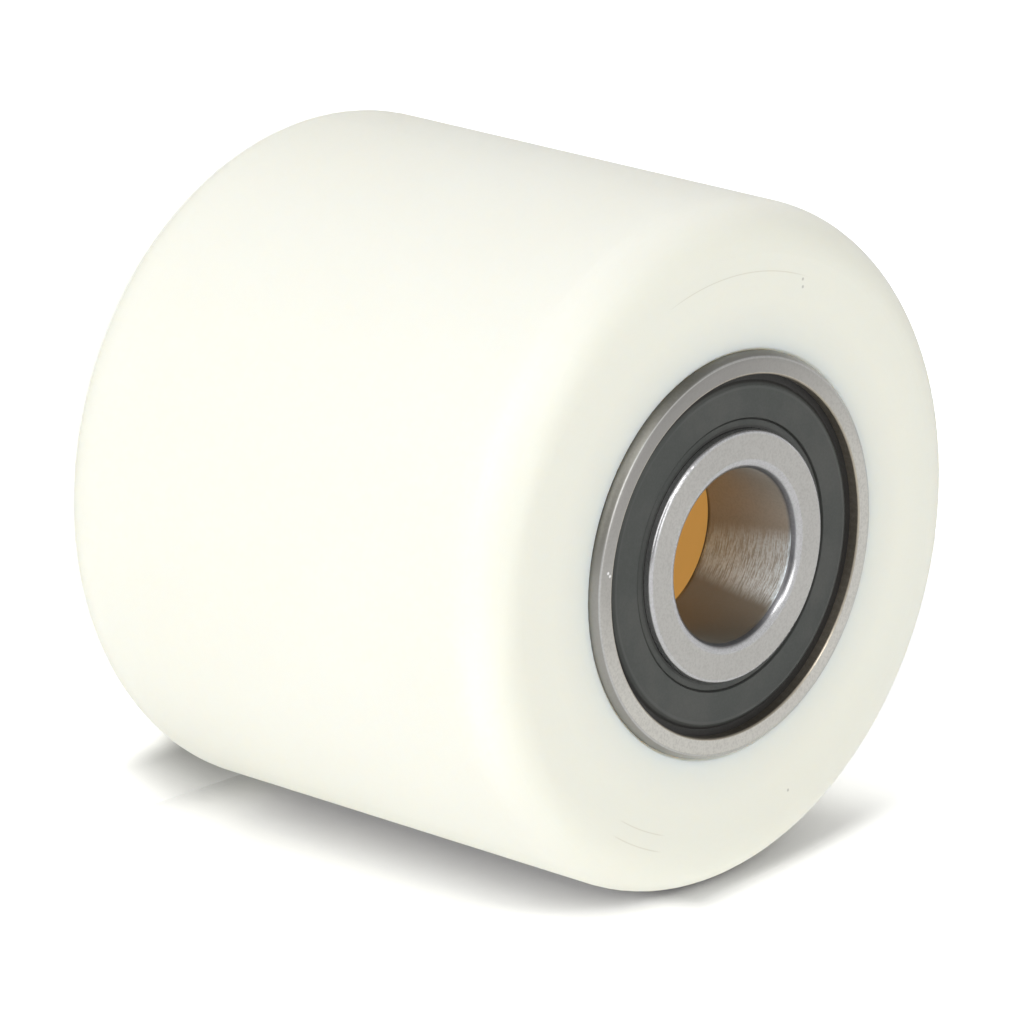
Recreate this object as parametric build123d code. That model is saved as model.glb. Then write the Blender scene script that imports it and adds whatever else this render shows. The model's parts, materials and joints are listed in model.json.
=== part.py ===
"""Load roller for the fork tip of a pallet truck.

A polyamide roller turned from bar, with a sealed deep-groove ball bearing
pressed into each end. The roller stands on its lower end: the axis is +Z, and
the origin is on that axis, in the plane of the lower bearing's outer face.
Millimetres throughout. In the names, "outboard" is the side of a bearing that
faces out of the roller, and "inboard" the side that faces its middle.
"""
import os
from math import cos, radians, sin

from build123d import *

# Roller body
tread_diameter = 80.0
body_width = 68.0
shoulder_radius = 5.5
middle_bore_diameter = 40.0
seat_mouth_chamfer = 0.3

# Bearing, outside sizes
axle_diameter = 20.0
seat_diameter = 47.0
bearing_width = 14.0
bearing_proud = 1.0          # how far each bearing stands out of the body's face
ring_corner = 1.1            # rounded outer corners of the outer ring
bore_corner = 1.27           # rounded ends of the bore

# Balls and raceways
ball_diameter = 7.938
ball_count = 8
race_play = 0.05             # between a ball and the bottom of each raceway
race_conformity = 0.525      # raceway radius over ball diameter
inner_shoulder_step = 2.15   # from the pitch circle in to the inner ring's shoulder
outer_shoulder_step = 2.35   # from the pitch circle out to the outer ring's shoulder
shoulder_round = 0.45        # outer edges of the inner ring's faces

# Seal seat in the outer ring
mouth_wall = 2.55            # wall of the outer ring outside the seal
mouth_chamfer = 0.15
groove_undercut = 0.4        # how far the seal groove goes behind the mouth
groove_width = 0.6
groove_depth = 1.3           # from the ring's face to the groove

# Seal: rubber moulded on a sheet steel plate
seal_recess = 0.9            # from the ring's face down to the seal's flat
lip_recess = 1.05
lip_gap = 0.05               # left between the lip and the turning inner ring
lip_thickness = 0.4
lip_step = 1.1               # from the inner ring's shoulder to the lip's step
step_groove = 0.3            # width of the step's V groove
bead_width = 0.85            # rim of the seal below its flat, seen inside the mouth
bead_slope = 0.6
flat_round = 0.3             # outer edge of the seal's flat
plate_thickness = 0.4
plate_inset = 1.3            # from the inner ring's shoulder to the plate's edge
plate_rim = 1.05             # from the groove's bottom to the plate's outer edge

# Cage: two pressed halves, riveted between the balls
cage_sheet = 0.7
cage_band = 3.4
pocket_clearance = 0.15
rivet_diameter = 1.2
rivet_head_diameter = 2.0
rivet_head_height = 0.35
rivet_head_bevel = 0.25

# Worked out from the sizes above
hub_length = body_width + 2 * bearing_proud
tread_radius = tread_diameter / 2
seat_radius = seat_diameter / 2
bore_radius = axle_diameter / 2
ball_radius = ball_diameter / 2
half_width = bearing_width / 2
pitch_radius = (axle_diameter + seat_diameter) / 4
race_radius = race_conformity * ball_diameter
shoulder_inner = pitch_radius - inner_shoulder_step
shoulder_outer = pitch_radius + outer_shoulder_step
mouth_radius = seat_radius - mouth_wall
groove_radius = mouth_radius + groove_undercut
groove_top = half_width - groove_depth
groove_floor = groove_top - groove_width
plate_inner = shoulder_inner + plate_inset
plate_outer = groove_radius - plate_rim
plate_top = groove_floor + plate_thickness
lower_middle = half_width
upper_middle = hub_length - half_width


def turned(section, rounds=()):
    """Turn a half section, a list of (radius, height) points, about the Z axis.

    Each of rounds is (radius, height, size): that corner is rounded by size.
    """
    with BuildPart() as piece:
        with BuildSketch(Plane.XZ):
            with BuildLine():
                Polyline(*section, close=True)
            make_face()
            for r, z, size in rounds:
                corner = vertices().sort_by_distance((r, z, 0))[0]
                fillet(corner, radius=size)
        revolve(axis=Axis.Z)
    return piece.part


def raceway(bottom_radius, side):
    """The torus that grinds a raceway; side is +1 where its centre lies inside."""
    return Torus(bottom_radius - side * race_radius, race_radius)


def make_roller_body():
    """Turned polyamide body: tread, rounded shoulders, two seats, middle bore."""
    low, high = bearing_proud, bearing_proud + body_width
    seat_low, seat_high = bearing_width, hub_length - bearing_width
    mouth = seat_radius + seat_mouth_chamfer
    middle_radius = middle_bore_diameter / 2
    section = [
        (tread_radius, low),
        (tread_radius, high),
        (mouth, high),
        (seat_radius, high - seat_mouth_chamfer),
        (seat_radius, seat_high),
        (middle_radius, seat_high),
        (middle_radius, seat_low),
        (seat_radius, seat_low),
        (seat_radius, low + seat_mouth_chamfer),
        (mouth, low),
    ]
    shoulders = [(tread_radius, z, shoulder_radius) for z in (low, high)]
    return turned(section, shoulders)


def make_outer_ring():
    """Outer ring: ball raceway inside, with a seal groove behind each mouth."""
    upper_half = [
        (seat_radius, half_width),
        (mouth_radius + mouth_chamfer, half_width),
        (mouth_radius, half_width - mouth_chamfer),
        (mouth_radius, groove_top),
        (groove_radius, groove_top),
        (groove_radius, groove_floor),
        (shoulder_outer, groove_floor),
    ]
    lower_half = [(r, -z) for r, z in reversed(upper_half)]
    corners = [(seat_radius, z, ring_corner) for z in (half_width, -half_width)]
    ring = turned(upper_half + lower_half, corners)
    return ring - raceway(pitch_radius + ball_radius + race_play, 1)


def make_inner_ring():
    """Inner ring: the axle's bore, rounded at its ends, and the inner raceway."""
    section = [
        (bore_radius, -half_width),
        (shoulder_inner, -half_width),
        (shoulder_inner, half_width),
        (bore_radius, half_width),
    ]
    corners = []
    for z in (half_width, -half_width):
        corners.append((bore_radius, z, bore_corner))
        corners.append((shoulder_inner, z, shoulder_round))
    ring = turned(section, corners)
    return ring - raceway(pitch_radius - ball_radius - race_play, -1)


def make_seal_rubber():
    """Rubber of one seal: bead in the ring's groove, flat face, stepped lip."""
    face = half_width - seal_recess
    lip_face = half_width - lip_recess
    lip = shoulder_inner + lip_gap
    step = shoulder_inner + lip_step
    flat_edge = mouth_radius - bead_width - bead_slope
    section = [
        (lip, lip_face),
        (step - step_groove / 2, lip_face),
        (step, lip_face - step_groove / 2),
        (step + step_groove / 2, face),
        (flat_edge, face),
        (flat_edge + bead_slope, groove_top),
        (groove_radius, groove_top),
        (groove_radius, groove_floor),
        (plate_outer, groove_floor),
        (plate_outer, plate_top),
        (plate_inner, plate_top),
        (plate_inner, groove_floor),
        (lip, lip_face - lip_thickness),
    ]
    return turned(section, [(flat_edge, face, flat_round)])


def make_seal_plate():
    """Sheet steel ring that stiffens a seal, under its rubber."""
    return turned([
        (plate_inner, groove_floor),
        (plate_outer, groove_floor),
        (plate_outer, plate_top),
        (plate_inner, plate_top),
    ])


def ball_places():
    """Centres of the balls on the pitch circle, at the bearing's middle."""
    step = 360 / ball_count
    angles = [radians(i * step) for i in range(ball_count)]
    return [(pitch_radius * cos(a), pitch_radius * sin(a), 0) for a in angles]


def rivet_places():
    """Centres of the rivets, on the pitch circle halfway between the balls."""
    step = 360 / ball_count
    angles = [radians((i + 0.5) * step) for i in range(ball_count)]
    return [(pitch_radius * cos(a), pitch_radius * sin(a), 0) for a in angles]


def make_cage_half():
    """One pressed half of the cage: flat webs between round pockets, z above 0."""
    pocket = ball_radius + pocket_clearance
    height = pocket + cage_sheet
    inside = pitch_radius - cage_band / 2
    outside = pitch_radius + cage_band / 2
    upwards = (Align.CENTER, Align.CENTER, Align.MIN)
    half = Cylinder(outside, cage_sheet, align=upwards)
    half += [Pos(*place) * Sphere(height) for place in ball_places()]
    half &= Cylinder(outside, height, align=upwards)
    half -= Cylinder(inside, height, align=upwards)
    half -= [Pos(*place) * Sphere(pocket) for place in ball_places()]
    half -= [Pos(*place) * Cylinder(rivet_diameter / 2, 2 * height) for place in rivet_places()]
    return half


def make_rivets():
    """The rivets that hold the two halves of a cage together, headed both ends."""
    head = rivet_head_diameter / 2
    shank = rivet_diameter / 2
    top = cage_sheet + rivet_head_height
    upper_half = [
        (0, top),
        (head - rivet_head_bevel, top),
        (head, top - rivet_head_bevel),
        (head, cage_sheet),
        (shank, cage_sheet),
    ]
    lower_half = [(r, -z) for r, z in reversed(upper_half)]
    rivet = turned(upper_half + lower_half)
    return Compound(children=[Pos(*place) * rivet for place in rivet_places()])


def make_bearing():
    """All pieces of one bearing about its own middle, outboard side upwards."""
    flip = Rot(180, 0, 0)
    seal_rubber = make_seal_rubber()
    seal_plate = make_seal_plate()
    cage_half = make_cage_half()
    pieces = {
        "outer_ring": make_outer_ring(),
        "inner_ring": make_inner_ring(),
        "outboard_seal_rubber": seal_rubber,
        "outboard_seal_plate": seal_plate,
        "inboard_seal_rubber": flip * seal_rubber,
        "inboard_seal_plate": flip * seal_plate,
        "cage_outboard_half": cage_half,
        "cage_inboard_half": flip * cage_half,
        "cage_rivets": make_rivets(),
    }
    for number, place in enumerate(ball_places(), start=1):
        pieces[f"ball_{number}"] = Pos(*place) * Sphere(ball_radius)
    return pieces


def make_roller():
    """Every piece of the roller in its place, by name."""
    pieces = {"roller_body": make_roller_body()}
    lower = Pos(0, 0, lower_middle) * Rot(180, 0, 0)
    upper = Pos(0, 0, upper_middle)
    for name, piece in make_bearing().items():
        pieces[f"lower_{name}"] = lower * piece
        pieces[f"upper_{name}"] = upper * piece
    return pieces


os.makedirs("parts", exist_ok=True)
for node, shape in make_roller().items():
    export_step(shape, f"parts/{node}.step")
    print(node, round(shape.volume, 1), "mm3")
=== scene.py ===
# %% [markdown]
# A load roller from the fork tip of a pallet truck. The real one is a bar of
# white polyamide turned to a roller, with a sealed ball bearing pressed into
# each end. The solids come from the CAD model, ready in their places, so this
# script gives them their finish, and adds the camera, the light and the floor.

# %% Load the solids and note their box
import json
import math

import bpy
from mathutils import Matrix, Vector


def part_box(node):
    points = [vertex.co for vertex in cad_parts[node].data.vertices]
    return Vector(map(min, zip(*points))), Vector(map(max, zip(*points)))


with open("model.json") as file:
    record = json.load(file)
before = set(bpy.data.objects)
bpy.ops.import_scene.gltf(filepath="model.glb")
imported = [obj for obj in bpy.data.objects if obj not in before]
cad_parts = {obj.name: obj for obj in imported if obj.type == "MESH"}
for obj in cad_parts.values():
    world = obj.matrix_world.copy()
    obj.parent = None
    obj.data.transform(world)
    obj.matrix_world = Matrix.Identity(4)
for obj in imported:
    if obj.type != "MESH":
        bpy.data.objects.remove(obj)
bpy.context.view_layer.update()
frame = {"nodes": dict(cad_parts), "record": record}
bpy.ops.object.select_all(action="DESELECT")

# %% [markdown]
# The finishes follow the roller's own sizes, so those are read from the solids
# once, here, and not typed in again.

# %% Sizes of the roller, in metres
body_high = Vector(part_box("roller_body")[1])
ring_low, ring_high = (Vector(corner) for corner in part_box("upper_outer_ring"))
tread_radius = body_high.x
hub_length = ring_high.z
middle_height = hub_length / 2
ring_middle = (ring_low.z + ring_high.z) / 2 - middle_height
mm = 0.001
bore_radius = frame["record"]["mounts"][0]["dims"]["r_mm"] * mm
print("tread", tread_radius, "hub", hub_length, "bore", bore_radius)

# %% [markdown]
# The photograph looks at the roller as it lies on its tread, with one end
# towards the camera. Here the roller stands on its other end, so the camera
# leans over with it: what is above the roller in the picture is +X here. The
# roller's axis is turned and tilted as seen by the camera, and the near end's
# centre has its place right of, below and ahead of the lens.

# %% Camera
axis_turn = math.radians(48.4)
axis_tilt = math.radians(11.65)
near_end = Vector((25.32, 5.06, 875.9)) * mm
focal_pixels = 7796.0
frame_pixels = 1024.0
sensor_mm = 36.0


def frame_axes_in_camera(turn, tilt):
    """The frame's X, Y and Z as the camera sees them: right, down and ahead."""
    z_axis = Vector((math.sin(turn) * math.cos(tilt), math.sin(tilt),
                     -math.cos(turn) * math.cos(tilt)))
    pitch = math.atan2(math.tan(tilt), math.cos(turn))
    x_axis = Vector((0.0, -math.cos(pitch), -math.sin(pitch)))
    return x_axis, z_axis.cross(x_axis), z_axis


def make_camera():
    """Puts the camera where the photograph's camera stood."""
    to_frame = Matrix(frame_axes_in_camera(axis_turn, axis_tilt))
    camera_place = Vector((0.0, 0.0, hub_length)) - to_frame @ near_end
    right = to_frame @ Vector((1.0, 0.0, 0.0))
    up = to_frame @ Vector((0.0, -1.0, 0.0))
    back = to_frame @ Vector((0.0, 0.0, -1.0))
    turned_to = Matrix((right, up, back)).transposed()
    data = bpy.data.cameras.new("camera")
    data.sensor_width = sensor_mm
    data.sensor_fit = "HORIZONTAL"
    data.lens = focal_pixels / frame_pixels * sensor_mm
    data.clip_start = 0.01
    data.clip_end = 10.0
    camera = bpy.data.objects.new("camera", data)
    camera.matrix_world = Matrix.LocRotScale(camera_place, turned_to, None)
    bpy.context.scene.collection.objects.link(camera)
    bpy.context.scene.camera = camera
    return right, up, back


right, up, back = make_camera()
print("camera looks along", tuple(round(-v, 3) for v in back))

# %% [markdown]
# Materials are built from small steps, each one node. These helpers add a
# node, wire it up and hand back its output, so that a finish reads as a recipe.

# %% Helpers that add one node
white = (1.0, 1.0, 1.0)
black = (0.0, 0.0, 0.0)


def new_material(name):
    """A material with its node tree and its Principled shader."""
    material = bpy.data.materials.new(name)
    material.use_nodes = True
    return material, material.node_tree, material.node_tree.nodes["Principled BSDF"]


def plug(tree, socket, value):
    """Wires an output to an input, or sets the input to a plain value."""
    if isinstance(value, bpy.types.NodeSocket):
        tree.links.new(value, socket)
    else:
        socket.default_value = value


def opaque(colour):
    """A plain colour with its alpha added, or an output as it is."""
    return colour if isinstance(colour, bpy.types.NodeSocket) else (*colour, 1.0)


def maths(tree, operation, *values):
    """One Math node."""
    node = tree.nodes.new("ShaderNodeMath")
    node.operation = operation
    for socket, value in zip(node.inputs, values):
        plug(tree, socket, value)
    return node.outputs[0]


def vector_maths(tree, operation, vector, other):
    """One Vector Math node, with a plain vector as its second value."""
    node = tree.nodes.new("ShaderNodeVectorMath")
    node.operation = operation
    tree.links.new(vector, node.inputs[0])
    node.inputs[1].default_value = other
    return node


def mix_number(tree, factor, first, second):
    """Blends two plain numbers."""
    return maths(tree, "MULTIPLY_ADD", factor, maths(tree, "SUBTRACT", second, first), first)


def mix_colour(tree, factor, first, second):
    """Blends two colours."""
    node = tree.nodes.new("ShaderNodeMix")
    node.data_type = "RGBA"
    plug(tree, node.inputs["Factor"], factor)
    plug(tree, node.inputs["A"], opaque(first))
    plug(tree, node.inputs["B"], opaque(second))
    return node.outputs["Result"]


# %% [markdown]
# What was turned on a lathe changes with the distance from its axis, so most
# patterns here are measured from the roller's axis. A ramp blends softly
# between two limits, and a row of bands gives a whole section its colours in
# one node.

# %% Helpers that measure and blend


def place(tree):
    """The point on the roller, in metres, and its X, Y and Z."""
    coordinates = tree.nodes.new("ShaderNodeTexCoord")
    split = tree.nodes.new("ShaderNodeSeparateXYZ")
    tree.links.new(coordinates.outputs["Object"], split.inputs[0])
    return coordinates.outputs["Object"], split.outputs[0], split.outputs[1], split.outputs[2]


def radius_of(tree, point):
    """Distance from the roller's axis."""
    flat = vector_maths(tree, "MULTIPLY", point, (1.0, 1.0, 0.0))
    length = tree.nodes.new("ShaderNodeVectorMath")
    length.operation = "LENGTH"
    tree.links.new(flat.outputs[0], length.inputs[0])
    return length.outputs["Value"]


def along(tree, vector, direction):
    """How far the point lies along a direction."""
    return vector_maths(tree, "DOT_PRODUCT", vector, direction).outputs["Value"]


def ramp(tree, value, low, high, from_value=0.0, to_value=1.0):
    """Runs smoothly from one value to another as the input goes from low to high."""
    node = tree.nodes.new("ShaderNodeMapRange")
    node.interpolation_type = "SMOOTHSTEP"
    plug(tree, node.inputs["Value"], value)
    node.inputs["From Min"].default_value = low
    node.inputs["From Max"].default_value = high
    node.inputs["To Min"].default_value = from_value
    node.inputs["To Max"].default_value = to_value
    return node.outputs["Result"]


def zone(tree, value, low, high, soft):
    """1 between two limits, and 0 outside them."""
    return maths(tree, "MULTIPLY", ramp(tree, value, low - soft, low),
                 ramp(tree, value, high, high + soft, 1.0, 0.0))


def spot(tree, point, centre, size):
    """1 at one place of the solid, fading to 0 at size metres from it."""
    distance = vector_maths(tree, "DISTANCE", point, centre).outputs["Value"]
    return ramp(tree, distance, 0.4 * size, size, 1.0, 0.0)


def bands_by_radius(tree, radius, bands):
    """Colour and one more number by distance from the axis.

    Each band is: from (mm), to (mm), colour, number. It blends into the next.
    """
    start, stop = bands[0][0], bands[-1][1]
    share = maths(tree, "DIVIDE", maths(tree, "SUBTRACT", radius, start * mm), (stop - start) * mm)
    node = tree.nodes.new("ShaderNodeValToRGB")
    stops = node.color_ramp.elements
    stops.remove(stops[0])
    stops[0].position = 0.0
    stops[0].color = (*bands[0][2], bands[0][3])
    for low, high, colour, number in bands:
        for edge in (low, high):
            stops.new((edge - start) / (stop - start)).color = (*colour, number)
    tree.links.new(share, node.inputs["Fac"])
    return node.outputs["Color"], node.outputs["Alpha"]


# %% [markdown]
# Real surfaces are never quite even. Noise gives clouds and grain, noise along
# one measure gives the rings of a lathe, and a bump node turns either into
# relief too fine to model.

# %% Helpers for grain and relief


def noise(tree, size, detail=2.0, roughness=0.5, stretch=(1.0, 1.0, 1.0)):
    """Cloudy noise whose lumps are about size metres across."""
    coordinates = tree.nodes.new("ShaderNodeTexCoord")
    mapping = tree.nodes.new("ShaderNodeMapping")
    mapping.inputs["Scale"].default_value = stretch
    tree.links.new(coordinates.outputs["Object"], mapping.inputs["Vector"])
    node = tree.nodes.new("ShaderNodeTexNoise")
    node.inputs["Scale"].default_value = 1.0 / size
    node.inputs["Detail"].default_value = detail
    node.inputs["Roughness"].default_value = roughness
    tree.links.new(mapping.outputs[0], node.inputs["Vector"])
    return node.outputs["Fac"]


def line_noise(tree, value, size):
    """Plain noise along one measure only, such as lathe marks along the radius."""
    node = tree.nodes.new("ShaderNodeTexNoise")
    node.noise_dimensions = "1D"
    node.inputs["Scale"].default_value = 1.0 / size
    node.inputs["Detail"].default_value = 0.0
    plug(tree, node.inputs["W"], value)
    return node.outputs["Fac"]


def bump(tree, height, distance):
    """Raises the surface a little where height is large."""
    node = tree.nodes.new("ShaderNodeBump")
    node.inputs["Strength"].default_value = 1.0
    node.inputs["Distance"].default_value = distance
    plug(tree, node.inputs["Height"], height)
    return node.outputs[0]


# %% [markdown]
# Natural polyamide is milky: light goes in, spreads and comes out warmer, so
# its shadows are soft, and the wall between the bearings, lit only through the
# plastic, glows ochre. Subsurface scattering gives the milky look. It could
# give the glow too, but through so much plastic that would take very many
# samples, so the glow is painted: the wall has a warm colour with a little light of its own.

# %% Colours of the polyamide
glow_colour = (0.64, 0.40, 0.12)
glow_strength = 0.39
end_face_colour = (0.92, 0.93, 0.825)
# From, to (mm from the axis), colour, and how much the painted shade on the shoulder shows.
nylon_bands = (
    (0.0, 22.0, glow_colour, 0.0),             # wall between the bearings, with its painted glow
    (23.0, 23.8, (0.83, 0.85, 0.79), 0.0),     # painted shade next to the ring
    (29.5, 31.0, end_face_colour, 0.0),        # end faces
    (34.5, 37.0, end_face_colour, 1.0),        # where a face turns into the shoulder, with painted shade on one side
    (39.7, 41.0, (0.925, 0.93, 0.855), 0.0),   # tread
)
wall_limit = 22.5 * mm
warm_colour = (0.92, 0.90, 0.77)
# Painted shade: the shoulder darker towards -Y, the side away from the key lamp.
shaded_shoulder_colour = (0.88, 0.89, 0.795)
shoulder_shade_starts, shoulder_shade_full = 10 * mm, -30 * mm
shoulder_shade_share = 0.55
cloud_size = 22 * mm
cloud_share = 0.4
lathe_pitch = 0.35 * mm
lathe_share = 0.1
lathe_depth = 0.005 * mm
nylon_roughness = (0.40, 0.50)
scatter_by_colour = (1.0, 0.7, 0.35)
scatter_reach = 4.0 * mm
polyamide_ior = 1.53
print("polyamide:", len(nylon_bands), "bands, wall to", wall_limit, "m")

# %% [markdown]
# The end faces keep a few traces of use and of the lathe: thin arcs about the
# axis, where the tool stopped or something rubbed, and some dark specks. They
# are finer than a hair, so they are drawn in the colour and not cut into the
# mesh. An arc has a radius, and it fades where the point's direction turns
# away from the arc's middle.

# %% Lathe marks and specks
# Middle and half width of the arcs in degrees, then their radii in mm.
lathe_marks = ((-2, 23, (32.5,)), (153, 8, (32.5, 34.4)))
mark_colour = (0.50, 0.45, 0.30)
mark_strength = 0.28
# Specks on the upper face: x and y in mm.
speck_places = ((29.8, -11.9), (28.9, -11.9), (-30.6, -10.3))
speck_size = 0.25 * mm
speck_colour = (0.30, 0.29, 0.24)
speck_strength = 0.5
face_height = body_high.z - middle_height
print("marks:", len(lathe_marks), "specks:", len(speck_places))


def lathe_mark(tree, point, radius, middle, half_width, mark_radii):
    """Thin arcs about the axis, fading at both ends."""
    thin = 0.0
    for mark_radius in mark_radii:
        off = maths(tree, "ABSOLUTE", maths(tree, "SUBTRACT", radius, mark_radius * mm))
        thin = maths(tree, "MAXIMUM", thin, ramp(tree, off, 0.02 * mm, 0.10 * mm, 1.0, 0.0))
    angle = math.radians(middle)
    towards = along(tree, point, (math.cos(angle), math.sin(angle), 0.0))
    ends = ramp(tree, maths(tree, "DIVIDE", towards, radius), math.cos(math.radians(half_width)),
                math.cos(math.radians(0.6 * half_width)))
    return maths(tree, "MULTIPLY", thin, ends)


def add_marks(tree, colour, point, radius, height):
    """The lathe marks on both end faces, over the colour."""
    marks = 0.0
    for mark in lathe_marks:
        marks = maths(tree, "MAXIMUM", marks, lathe_mark(tree, point, radius, *mark))
    on_face = maths(tree, "GREATER_THAN", height, face_height - 0.1 * mm)
    shown = maths(tree, "MULTIPLY", marks, maths(tree, "MULTIPLY", on_face, mark_strength))
    return mix_colour(tree, shown, colour, mark_colour)


def add_specks(tree, colour, point):
    """The dark specks, over the colour."""
    dots = 0.0
    for speck_x, speck_y in speck_places:
        centre = (speck_x * mm, speck_y * mm, body_high.z)
        dots = maths(tree, "MAXIMUM", dots, spot(tree, point, centre, speck_size))
    return mix_colour(tree, maths(tree, "MULTIPLY", dots, speck_strength), colour, speck_colour)


# %% Polyamide


def make_nylon():
    """Turned white polyamide for the roller's body."""
    material, tree, shader = new_material("nylon")
    point, _, y, z = place(tree)
    radius = radius_of(tree, point)
    height = maths(tree, "ABSOLUTE", maths(tree, "SUBTRACT", z, middle_height))
    cloud = noise(tree, cloud_size, 0.0)
    turned = line_noise(tree, maths(tree, "SUBTRACT", radius, height), lathe_pitch)
    outside = maths(tree, "GREATER_THAN", radius, wall_limit)
    colour, shoulder_shade = bands_by_radius(tree, radius, nylon_bands)
    # Painted shade on the shoulder, growing towards -Y.
    side = ramp(tree, y, shoulder_shade_starts, shoulder_shade_full, 0.0, shoulder_shade_share)
    colour = mix_colour(tree, maths(tree, "MULTIPLY", shoulder_shade, side), colour, shaded_shoulder_colour)
    tone = maths(tree, "ADD", maths(tree, "MULTIPLY", cloud, cloud_share),
                 maths(tree, "MULTIPLY", turned, lathe_share))
    colour = mix_colour(tree, maths(tree, "MULTIPLY", tone, outside), colour, warm_colour)
    colour = add_marks(tree, colour, point, radius, height)
    colour = add_specks(tree, colour, point)
    plug(tree, shader.inputs["Base Color"], colour)
    material.cycles.emission_sampling = "NONE"
    shader.subsurface_method = "BURLEY"
    shader.inputs["Subsurface Weight"].default_value = 1.0
    shader.inputs["Subsurface Radius"].default_value = scatter_by_colour
    shader.inputs["Subsurface Scale"].default_value = scatter_reach
    shader.inputs["IOR"].default_value = polyamide_ior
    # Painted glow: the wall between the bearings gives a little light of its own.
    shader.inputs["Emission Color"].default_value = (*glow_colour, 1.0)
    glow = maths(tree, "MULTIPLY", maths(tree, "SUBTRACT", 1.0, outside), glow_strength)
    plug(tree, shader.inputs["Emission Strength"], glow)
    plug(tree, shader.inputs["Roughness"], ramp(tree, turned, 0.3, 0.7, *nylon_roughness))
    plug(tree, shader.inputs["Normal"], bump(tree, turned, lathe_depth))
    return material


nylon = make_nylon()
print("finish:", nylon.name)

# %% [markdown]
# The rings are hardened steel. Their flat faces are ground to an even grey,
# the edges that get rubbed are bright, and the outer corner is left as turned.
# A few bands are painted light and shade instead. A painted picture could be
# wrapped around each ring, but all of this goes with the distance from the
# axis, so one row of bands gives most of it.

# %% Colours of the ring steel
ground = (0.53, 0.52, 0.495)
# From, to (mm from the axis), colour, roughness.
ring_bands = (
    (0.0, 10.02, (0.49, 0.465, 0.42), 0.56),      # bore, ground by a wheel
    (10.08, 10.35, (0.16, 0.16, 0.17), 0.35),     # painted shade: a dark line where the bore's round begins
    (10.50, 11.15, (0.58, 0.58, 0.59), 0.22),     # rounded ends of the bore
    (11.30, 14.15, (0.545, 0.535, 0.51), 0.32),   # face of the inner ring
    (14.22, 14.60, (0.60, 0.60, 0.61), 0.25),     # its worn edge
    (14.70, 20.80, ground, 0.30),                 # raceways and seal grooves
    (20.88, 20.98, (0.11, 0.095, 0.075), 0.50),   # painted shade on the wall behind the mouth
    (21.03, 21.10, (0.58, 0.52, 0.42), 0.35),     # edge of the mouth, with a painted warm highlight
    (21.16, 22.80, ground, 0.32),                 # face of the outer ring
    (22.90, 22.97, (0.56, 0.56, 0.55), 0.32),     # line on its corner, worn bright and painted as a highlight
    (23.05, 23.70, (0.35, 0.343, 0.32), 0.48),    # corner and outside, left as turned, darkened further by painted shade
)
grain_size = 0.30 * mm
grain_colour = (0.30, 0.29, 0.27)
grain_share = 0.25
scratch_size = 1.5 * mm
scratch_stretch = (1.0, 1.0, 9.0)
scratch_weight = 4.0
relief_depth = 0.001 * mm
print("ring steel:", len(ring_bands), "bands")

# %% [markdown]
# The outer ring isn't the same all round. Its face has painted shade on one
# side and a painted highlight on the other, and its corner has painted shade
# at one place and a painted highlight at another.

# %% Painted light and shade on the outer ring
ring_face = (21.2 * mm, 22.75 * mm)
# Painted shade and a painted highlight across the outer ring's face.
face_shade_colour = (0.34, 0.33, 0.315)
face_highlight_colour = (0.66, 0.645, 0.60)
corner_starts, corner_full = 22.85 * mm, 22.95 * mm
# Painted highlight and painted shade on the outer ring's corner.
corner_highlight_colour = (0.58, 0.57, 0.54)
corner_shade_colour = (0.20, 0.195, 0.17)
corner_shade_share = 0.9
print("outer ring's face from", ring_face[0], "to", ring_face[1], "m")


def add_face_light_and_shade(tree, colour, radius, x, y):
    """The outer ring's face, from a painted highlight to painted shade."""
    across = maths(tree, "MULTIPLY_ADD", y, 0.46, x)
    face_tone = mix_colour(tree, ramp(tree, across, -8 * mm, 27 * mm), face_highlight_colour, face_shade_colour)
    on_face = zone(tree, radius, *ring_face, 0.05 * mm)
    return mix_colour(tree, on_face, colour, face_tone)


def add_corner_light_and_shade(tree, colour, radius, x, y):
    """The outer ring's corner, with painted shade on one side and a painted highlight on the other."""
    on_corner = ramp(tree, radius, corner_starts, corner_full)
    shaded_side = ramp(tree, maths(tree, "ADD", x, y), 24.5 * mm, 30.5 * mm, 0.0, corner_shade_share)
    colour = mix_colour(tree, maths(tree, "MULTIPLY", shaded_side, on_corner), colour, corner_shade_colour)
    lit_side = ramp(tree, maths(tree, "MULTIPLY_ADD", x, 0.4, y), 6 * mm, -9 * mm)
    outside = maths(tree, "GREATER_THAN", radius, 23 * mm)
    return mix_colour(tree, maths(tree, "MULTIPLY", lit_side, outside), colour, corner_highlight_colour)


# %% [markdown]
# The bore was ground round and round, so its scratches run that way. A pale
# band of painted reflection runs along it, wider towards the mouth, and
# painted shade darkens the wall on the -X side.

# %% Painted shade and reflection in the bore, and nicks
# Painted shade on the bore's wall towards -X.
bore_shade_colour = (0.28, 0.262, 0.222)
# The painted reflection's middle as an angle about the axis, and how much it widens with depth.
reflection_strip_angle = math.radians(-113.5)
strip_widening = 0.05
reflection_strip_colour = (0.86, 0.95, 1.0)
# Nicks on the upper bearing's face, painted as bright glints: x and y in mm.
nicks = ((3.1, 21.6), (2.7, 21.3))
nick_size = 0.25 * mm
nick_glint_colour = (0.95, 0.95, 0.94)
print("painted reflection strip at", round(math.degrees(reflection_strip_angle), 1), "degrees, nicks:", len(nicks))


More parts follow.
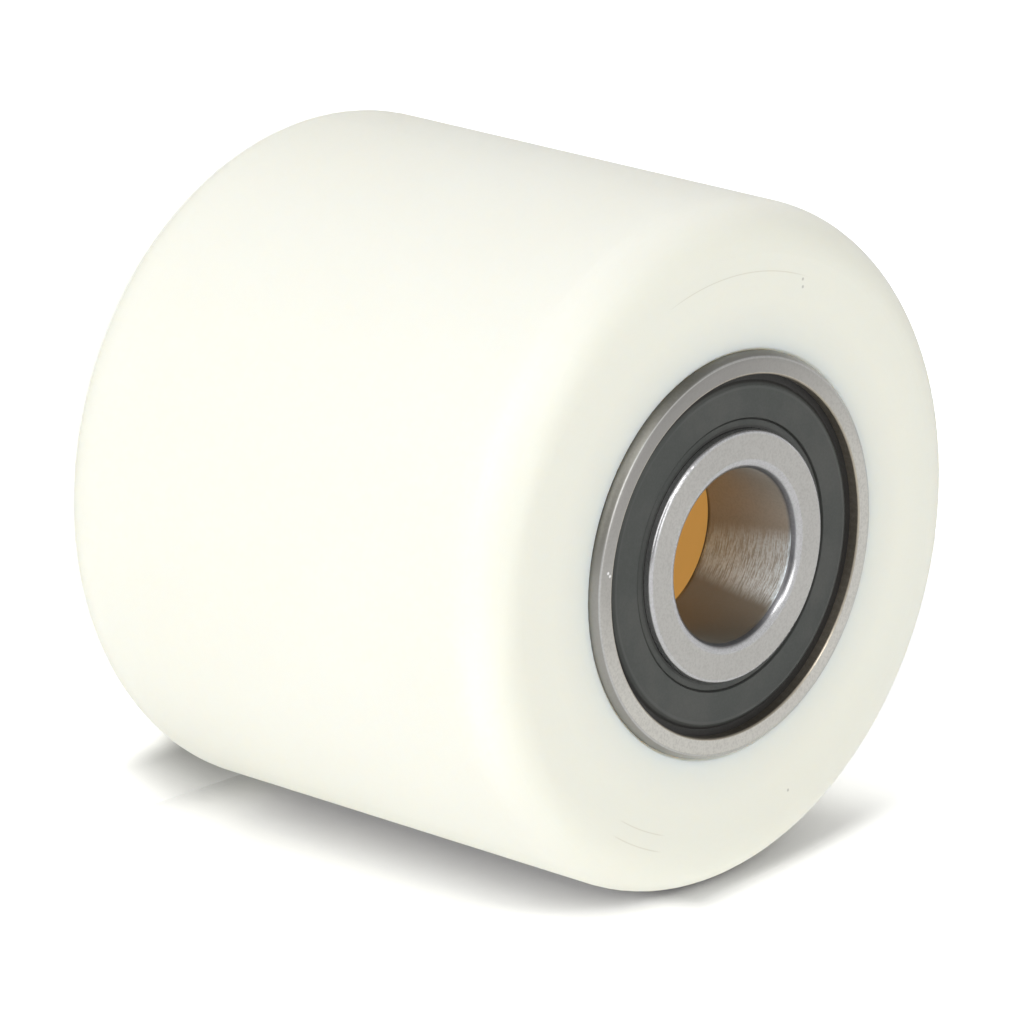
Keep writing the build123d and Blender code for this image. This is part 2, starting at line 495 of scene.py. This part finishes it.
def add_bore_shade_and_reflection(tree, colour, point, radius, x, z, scratches):
    """Painted shade on one side of the bore, and a pale strip of painted reflection along it."""
    in_bore = maths(tree, "LESS_THAN", radius, bore_radius + 0.1 * mm)
    bore_shade = maths(tree, "MULTIPLY", in_bore, ramp(tree, x, 2 * mm, -8 * mm))
    colour = mix_colour(tree, bore_shade, colour, bore_shade_colour)
    from_middle = maths(tree, "ABSOLUTE", maths(tree, "SUBTRACT", z, middle_height))
    outwards = maths(tree, "SUBTRACT", from_middle, ring_middle)
    facing = along(tree, point, (math.cos(reflection_strip_angle), math.sin(reflection_strip_angle), 0.0))
    facing = maths(tree, "MULTIPLY_ADD", outwards, strip_widening, facing)
    strip = maths(tree, "MULTIPLY", in_bore, ramp(tree, facing, 0.90 * bore_radius, 0.995 * bore_radius))
    strip = maths(tree, "MULTIPLY", strip, ramp(tree, scratches, 0.3, 0.6, 0.35, 1.0))
    return mix_colour(tree, strip, colour, reflection_strip_colour)


def add_nick_glints(tree, colour, point):
    """Small nicks in the outer ring's face, painted as bright glints."""
    for nick_x, nick_y in nicks:
        nick = spot(tree, point, (nick_x * mm, nick_y * mm, hub_length), nick_size)
        colour = mix_colour(tree, nick, colour, nick_glint_colour)
    return colour


# %% [markdown]
# Turned and ground steel shines in a streak across its marks, not in a round
# spot. Anisotropy does that, with the tangent running round the axis.

# %% Ring steel


def make_ring_steel():
    """Bearing steel: ground faces, bright edges, dull turned corners."""
    material, tree, shader = new_material("ring_steel")
    point, x, y, z = place(tree)
    radius = radius_of(tree, point)
    grain = noise(tree, grain_size, 1.0, 0.6)
    scratches = noise(tree, scratch_size, 1.0, 0.6, scratch_stretch)
    colour, rough = bands_by_radius(tree, radius, ring_bands)
    colour = add_face_light_and_shade(tree, colour, radius, x, y)
    colour = add_corner_light_and_shade(tree, colour, radius, x, y)
    colour = add_bore_shade_and_reflection(tree, colour, point, radius, x, z, scratches)
    colour = mix_colour(tree, ramp(tree, grain, 0.35, 0.75, 0.0, grain_share), colour, grain_colour)
    colour = add_nick_glints(tree, colour, point)
    plug(tree, shader.inputs["Base Color"], colour)
    plug(tree, shader.inputs["Roughness"], rough)
    shader.inputs["Metallic"].default_value = 1.0
    shader.inputs["Anisotropic"].default_value = 0.7
    shader.inputs["Anisotropic Rotation"].default_value = 0.25
    around = tree.nodes.new("ShaderNodeTangent")
    around.direction_type = "RADIAL"
    around.axis = "Z"
    tree.links.new(around.outputs[0], shader.inputs["Tangent"])
    relief = maths(tree, "MULTIPLY_ADD", scratches, scratch_weight, grain)
    plug(tree, shader.inputs["Normal"], bump(tree, relief, relief_depth))
    return material


ring_steel = make_ring_steel()
print("finish:", ring_steel.name)

# %% [markdown]
# The seals are moulded nitrile rubber: nearly black and dull, with the fine
# skin of the mould. Painted shade darkens the gutter along the rim, the groove
# of the step and the lip, and the rounded edge of the flat is a little shinier.
# A seal is round too, so each of these is a zone between two radii.

# %% Seal rubber
rubber_colour = (0.055, 0.060, 0.055)
rubber_pale = (0.070, 0.073, 0.067)
# Painted shade in the gutter, in the groove of the step and at the lip.
rubber_shade_colour = (0.020, 0.019, 0.017)
gutter_starts, gutter_full = 19.70 * mm, 19.95 * mm
lip_zone = (14.0 * mm, 14.9 * mm)
groove_zone = (15.62 * mm, 15.78 * mm)
crease_shade_share = 0.55
edge_zone = (19.2 * mm, 19.5 * mm)
edge_roughness = 0.28
rubber_roughness = (0.50, 0.62)
cloudiness_size = 6 * mm
skin_size = 0.25 * mm
skin_depth = 0.006 * mm


def make_rubber():
    """Matt dark grey rubber, with painted shade in its creases."""
    material, tree, shader = new_material("seal_rubber")
    radius = radius_of(tree, place(tree)[0])
    skin = noise(tree, skin_size, 3.0, 0.6)
    cloud = noise(tree, cloudiness_size)
    colour = mix_colour(tree, ramp(tree, cloud, 0.35, 0.7), rubber_colour, rubber_pale)
    gutter = ramp(tree, radius, gutter_starts, gutter_full)
    by_lip = zone(tree, radius, *lip_zone, 0.1 * mm)
    groove = zone(tree, radius, *groove_zone, 0.06 * mm)
    creases = maths(tree, "MULTIPLY", maths(tree, "MAXIMUM", by_lip, groove), crease_shade_share)
    recess_shade = maths(tree, "MAXIMUM", gutter, creases)
    plug(tree, shader.inputs["Base Color"], mix_colour(tree, recess_shade, colour, rubber_shade_colour))
    edge = zone(tree, radius, *edge_zone, 0.05 * mm)
    rough = ramp(tree, skin, 0.3, 0.7, *rubber_roughness)
    plug(tree, shader.inputs["Roughness"], mix_number(tree, edge, rough, edge_roughness))
    plug(tree, shader.inputs["Normal"], bump(tree, skin, skin_depth))
    return material


seal_rubber = make_rubber()
print("finish:", seal_rubber.name)

# %% [markdown]
# The pieces that the seals hide get their own finish too: polished balls, and
# the grey sheet steel of the cage and of the seals' plates. Nothing has worn
# them, so one function with a few values makes all three.

# %% Hidden steel


def make_plain_steel(name, colour, roughness_low, roughness_high, lump_size):
    """Steel with an even colour and a fine grain."""
    material, tree, shader = new_material(name)
    grain = noise(tree, lump_size, 3.0)
    darker = tuple(0.85 * share for share in colour)
    plug(tree, shader.inputs["Base Color"], mix_colour(tree, grain, colour, darker))
    shader.inputs["Metallic"].default_value = 1.0
    plug(tree, shader.inputs["Roughness"], ramp(tree, grain, 0.3, 0.7, roughness_low, roughness_high))
    return material


ball_steel = make_plain_steel("ball_steel", (0.62, 0.62, 0.62), 0.05, 0.10, 2 * mm)
cage_steel = make_plain_steel("cage_steel", (0.45, 0.45, 0.46), 0.30, 0.42, 0.6 * mm)
seal_plate = make_plain_steel("seal_plate", (0.42, 0.42, 0.43), 0.30, 0.42, 0.6 * mm)
print("finish:", ball_steel.name, cage_steel.name, seal_plate.name)

# %% [markdown]
# The frame's record says which finish each solid has. Only its material slots
# are filled: the solids themselves stay as they came.

# %% Give each solid its finish
finishes = {"nylon": nylon, "ring_steel": ring_steel, "seal_rubber": seal_rubber,
            "ball_steel": ball_steel, "cage_steel": cage_steel, "seal_plate": seal_plate}
for subpart in frame["record"]["subparts"]:
    for slot in frame["nodes"][subpart["node"]].material_slots:
        slot.material = finishes[subpart["material_slot"]]

# %% [markdown]
# The photograph shows a white ground with a soft shadow under the tread. The
# roller stands on a floor here, so what looks like the ground in the picture
# is an upright board that its tread touches. Both are one-sided: from behind
# or below they aren't there, so they never hide the roller in other views. The
# camera and mirrors see them as plain white, and the roller is lit by a duller
# white, so that its underside stays as soft as it is in the photograph.

# %% White of the stage
white_to_light = (0.82, 0.82, 0.82)
print("the stage lights the roller as", white_to_light[0])


def diffuse_of(tree, colour):
    """A dull surface of that colour."""
    node = tree.nodes.new("ShaderNodeBsdfDiffuse")
    plug(tree, node.inputs["Color"], opaque(colour))
    return node.outputs[0]


def mix_shaders(tree, factor, first, second):
    """Blends two surfaces."""
    node = tree.nodes.new("ShaderNodeMixShader")
    tree.links.new(factor, node.inputs[0])
    tree.links.new(first, node.inputs[1])
    tree.links.new(second, node.inputs[2])
    return node.outputs[0]


# %% [markdown]
# A white bright enough to look like the photograph's ground washes the real
# shadow out. Ambient occlusion brings back the dark contact shadow near the
# roller, and only there, because it takes time. The shades add what the large
# lamp's shadow would have been: on the floor close to the board, and on the
# board below the roller, on the side away from the lamp and at its foot.

# %% Shadow of the roller
shadow_reach = 62 * mm
shadow_tint = (0.255, 0.25, 0.29)
nook_size = 16 * mm
print("shadow reaches", shadow_reach, "m")


def contact_shadow(tree, shown_white, least):
    """White, darkened wherever the roller comes near; least is the least light left, 0 to 1."""
    nook = tree.nodes.new("ShaderNodeAmbientOcclusion")
    nook.inputs["Distance"].default_value = nook_size
    nook.samples = 2
    dark = tuple(shown_white * share for share in shadow_tint)
    light = maths(tree, "MAXIMUM", ramp(tree, nook.outputs["AO"], 0.0, 0.55), least)
    return mix_colour(tree, light, dark, (shown_white,) * 3)


def floor_shade(tree):
    """Light left on the floor by the board, and the least that the contact shadow leaves."""
    point, x, _, _ = place(tree)
    near = ramp(tree, radius_of(tree, point), tread_radius - 2.5 * mm, tread_radius + 13 * mm, 0.2, 1.0)
    by_board = maths(tree, "MULTIPLY", zone(tree, x, -tread_radius - 0.5 * mm, -35 * mm, 5 * mm),
                     ramp(tree, x, -tread_radius - 2 * mm, -tread_radius))
    return mix_number(tree, by_board, 1.0, near), ramp(tree, x, -34 * mm, -27 * mm, 0.0, 0.75)


def board_shade(tree):
    """Light left on the board, and the least that the contact shadow leaves."""
    _, down, y, _ = place(tree)
    height = maths(tree, "SUBTRACT", board_length / 2, down)
    side = maths(tree, "MULTIPLY", ramp(tree, y, -42 * mm, -24 * mm),
                 ramp(tree, y, 4 * mm, 10 * mm, 0.40, 0.0))
    edge = maths(tree, "MULTIPLY_ADD", y, -0.15, height)
    below = ramp(tree, edge, body_high.z - 1.7 * mm, body_high.z + 3.3 * mm, 1.0, 0.0)
    foot = maths(tree, "MULTIPLY", ramp(tree, height, 0.0, 10 * mm, 0.55, 0.0),
                 ramp(tree, y, 8 * mm, 28 * mm, 1.0, 0.0))
    dark = maths(tree, "MULTIPLY_ADD", side, below, foot)
    return maths(tree, "SUBTRACT", 1.0, dark), 0.0


# %% Floor and board
floor_length = 3.0
board_length = 1.2
floor_gap = 0.02 * mm
board_gap = 0.05 * mm
# How white the camera sees each, to make up for the light that falls on it.
floor_shown = 2.4
board_shown = 1.55


def make_stage_material(name, shown_white, shade, near):
    """White on its front only, lifted for the camera, and shaded close to the roller."""
    material = bpy.data.materials.new(name)
    material.use_nodes = True
    tree = material.node_tree
    tree.nodes.clear()
    output = tree.nodes.new("ShaderNodeOutputMaterial")
    rays = tree.nodes.new("ShaderNodeLightPath")
    mirrored_ray = maths(tree, "MAXIMUM", rays.outputs["Is Glossy Ray"],
                         rays.outputs["Is Transmission Ray"])
    plain = diffuse_of(tree, mix_colour(tree, mirrored_ray, white_to_light, white))
    light_left, least = shade(tree)
    shaded = mix_colour(tree, light_left, black, contact_shadow(tree, shown_white, least))
    open_white = diffuse_of(tree, (shown_white,) * 3)
    close_by = maths(tree, "GREATER_THAN", spot(tree, place(tree)[0], near, shadow_reach), 0.0)
    shown = mix_shaders(tree, close_by, open_white, diffuse_of(tree, shaded))
    front = mix_shaders(tree, rays.outputs["Is Camera Ray"], plain, shown)
    geometry = tree.nodes.new("ShaderNodeNewGeometry")
    clear = tree.nodes.new("ShaderNodeBsdfTransparent")
    surface = mix_shaders(tree, geometry.outputs["Backfacing"], front, clear.outputs[0])
    tree.links.new(surface, output.inputs["Surface"])
    return material


def make_floor():
    """The floor that the roller stands on."""
    bpy.ops.mesh.primitive_plane_add(size=floor_length, location=(0.0, 0.0, -floor_gap))
    floor = bpy.context.active_object
    floor.name = "floor"
    finish = make_stage_material("floor_white", floor_shown, floor_shade, (0.0, 0.0, 0.0))
    floor.data.materials.append(finish)
    floor.visible_shadow = False


def make_board():
    """The upright board that the tread touches."""
    bpy.ops.mesh.primitive_plane_add(size=board_length,
                                     location=(-tread_radius - board_gap, 0.0, board_length / 2),
                                     rotation=(0.0, math.radians(90), 0.0))
    board = bpy.context.active_object
    board.name = "board"
    near = (board_length / 2 - middle_height, 0.0, 0.0)
    board.data.materials.append(make_stage_material("board_white", board_shown, board_shade, near))
    board.visible_shadow = False


make_floor()
make_board()
print("stage: floor", floor_length, "m, board", board_length, "m")

# %% [markdown]
# The light is that of a photographer's tent: an even surround and five soft
# lamps, the strongest two on the camera's left. Metal mirrors the surround, so
# the camera's side and the ceiling look darker in it, as they do in a real
# studio. The lamps themselves aren't seen by the camera.

# %% Surround
surround = 0.45
mirrored = 0.80
# Direction, cosine where the patch begins, cosine where it is full, share of light left.
dark_patches = (
    (back, 0.80, 0.97, 0.50),
    (0.35 * right + 0.9 * up - 0.25 * back, 0.55, 0.90, 0.30),
)


def make_surround():
    """A grey-white world, darker in parts in a reflection, and pure white for the camera."""
    world = bpy.data.worlds.new("surround")
    bpy.context.scene.world = world
    world.use_nodes = True
    tree = world.node_tree
    background = tree.nodes["Background"]
    background.inputs["Color"].default_value = opaque(white)
    rays = tree.nodes.new("ShaderNodeLightPath")
    coordinates = tree.nodes.new("ShaderNodeTexCoord")
    reflected = mirrored
    for direction, begins, full, light_left in dark_patches:
        towards = along(tree, coordinates.outputs["Generated"], direction.normalized())
        patch = ramp(tree, towards, begins, full, 1.0, light_left)
        reflected = maths(tree, "MULTIPLY", patch, reflected)
    lit = mix_number(tree, rays.outputs["Is Glossy Ray"], surround, reflected)
    seen = maths(tree, "MAXIMUM", rays.outputs["Is Camera Ray"], rays.outputs["Is Transmission Ray"])
    plug(tree, background.inputs["Strength"], mix_number(tree, seen, lit, 1.0))


make_surround()
print("surround:", surround, "mirrored as:", mirrored)

# %% Lamps
lamps = (
    # name, then metres right of, above and in front of the roller, size (m), watts
    ("key_softbox", -0.50, 0.35, 0.78, 0.8, 3.9),
    ("low_softbox", -0.44, -0.78, 0.44, 0.8, 3.0),
    ("right_softbox", 0.68, -0.05, 0.73, 0.35, 0.8),
    ("window_lamp", 0.43, 0.39, 0.81, 0.25, 1.6),
    ("far_softbox", 0.62, -0.32, -0.64, 0.8, 2.5),
)


def make_lamp(name, to_right, above, in_front, size, watts):
    """A square soft lamp, placed as the camera sees it and aimed at the roller."""
    middle = Vector((0.0, 0.0, middle_height))
    data = bpy.data.lights.new(name, "AREA")
    data.size = size
    data.energy = watts
    lamp = bpy.data.objects.new(name, data)
    lamp.location = middle + to_right * right + above * up + in_front * back
    lamp.rotation_euler = (middle - lamp.location).to_track_quat("-Z", "Y").to_euler()
    lamp.visible_camera = False
    bpy.context.scene.collection.objects.link(lamp)


for lamp_values in lamps:
    make_lamp(*lamp_values)
bpy.context.scene.view_settings.view_transform = "Standard"
print("lamps:", len(lamps))
